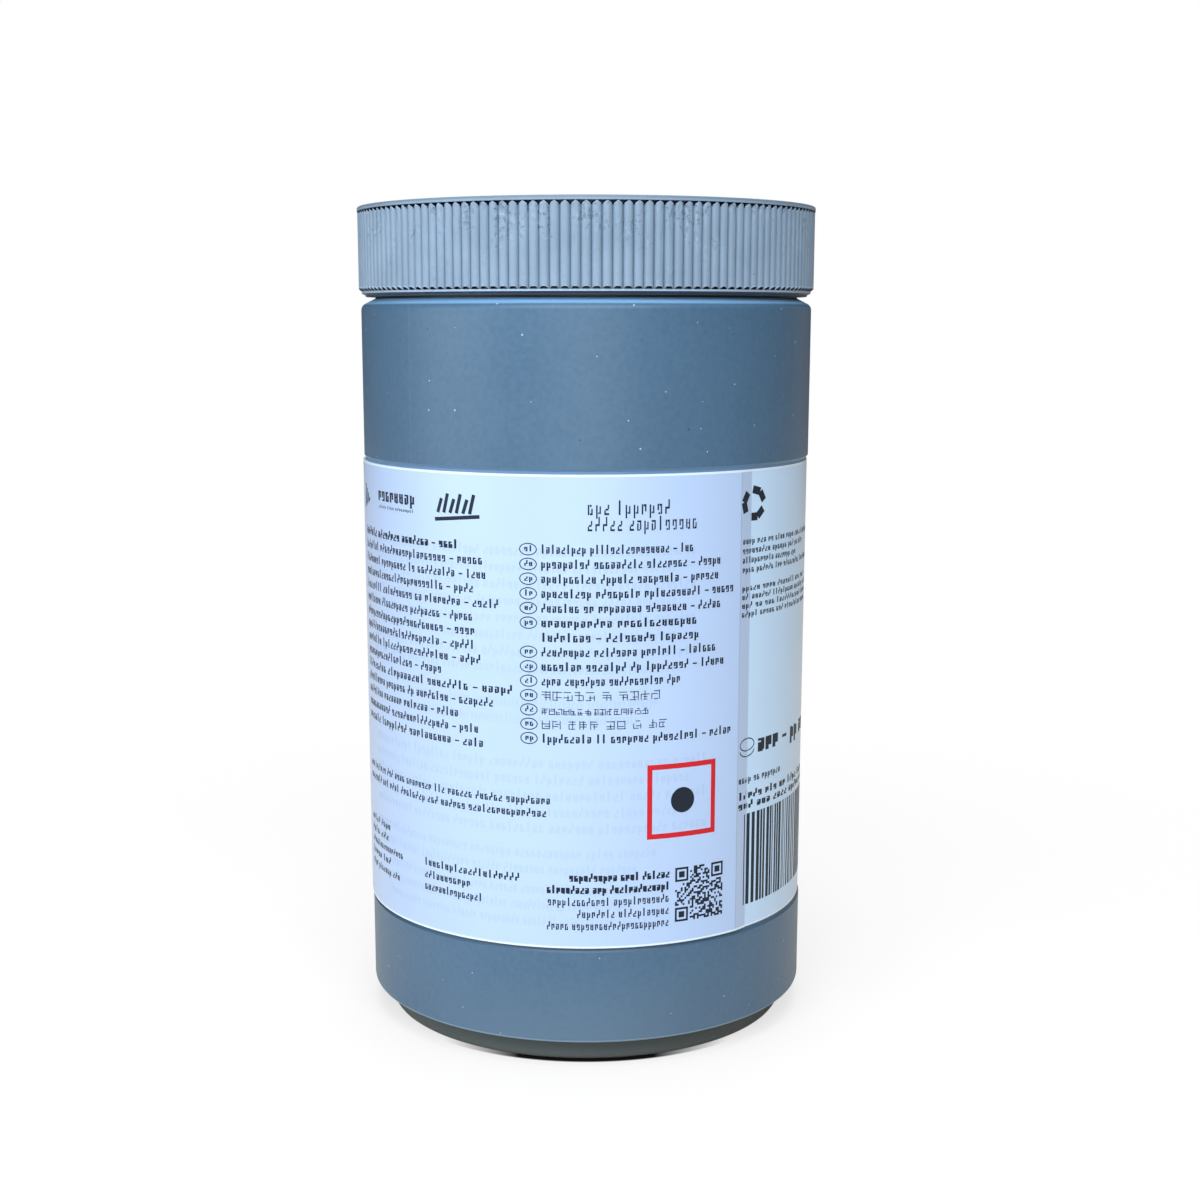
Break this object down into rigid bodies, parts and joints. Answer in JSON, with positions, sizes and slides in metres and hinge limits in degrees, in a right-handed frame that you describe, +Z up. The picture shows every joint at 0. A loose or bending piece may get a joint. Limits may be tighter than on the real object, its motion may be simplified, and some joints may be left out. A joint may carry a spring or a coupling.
{
  "type": "pack of milk system cleaning tablets",
  "caption": "Round plastic jar with a ribbed screw lid, a sealing disc and a wrap-around booklet label, filled with flat round cleaning tablets.",
  "frame": {"origin": "centre of the jar's base, on the plane of the ring that it stands on", "axes": "+Z up along the jar's axis, the label's printed front faces -Y"},
  "size_m": [0.096, 0.096, 0.1719],
  "materials": {
    "jar_plastic": "blow-moulded, satin",
    "lid_plastic": "injection-moulded, satin",
    "liner_foam": "foam disc, matte",
    "label_paper": "varnished label film, glossy",
    "booklet_paper": "varnished paper booklet, glossy",
    "tablet": "pressed powder, matte"
  },
  "bodies": {
    "jar": {"jar": "jar_plastic", "base_label": "label_paper", "booklet_label": "booklet_paper", "tablet_layer_01": "tablet", "tablet_layer_02": "tablet", "tablet_layer_03": "tablet", "tablet_layer_04": "tablet", "tablet_layer_05": "tablet", "tablet_layer_06": "tablet", "tablet_layer_07": "tablet", "tablet_layer_08": "tablet", "tablet_layer_09": "tablet", "tablet_layer_10": "tablet", "tablet_layer_11": "tablet", "tablet_layer_12": "tablet", "tablet_layer_13": "tablet", "tablet_layer_14": "tablet", "tablet_layer_15": "tablet"},
    "liner": {"liner": "liner_foam"},
    "lid": {"lid": "lid_plastic"}
  },
  "joints": [
    {"name": "lid_lift", "type": "slide", "parent": "jar", "child": "liner", "axis": [0, 0, 1], "range_m": [0, 0.0361]},
    {"name": "lid_turn", "type": "hinge", "parent": "liner", "child": "lid", "pos_m": [0, 0, 0.17], "axis": [0, 0, 1], "range_deg": [0, 1080]}
  ],
  "couplings": [
    {"joint": "lid_lift", "follows": "lid_turn", "m_per_rad": 0.0019099}
  ]
}
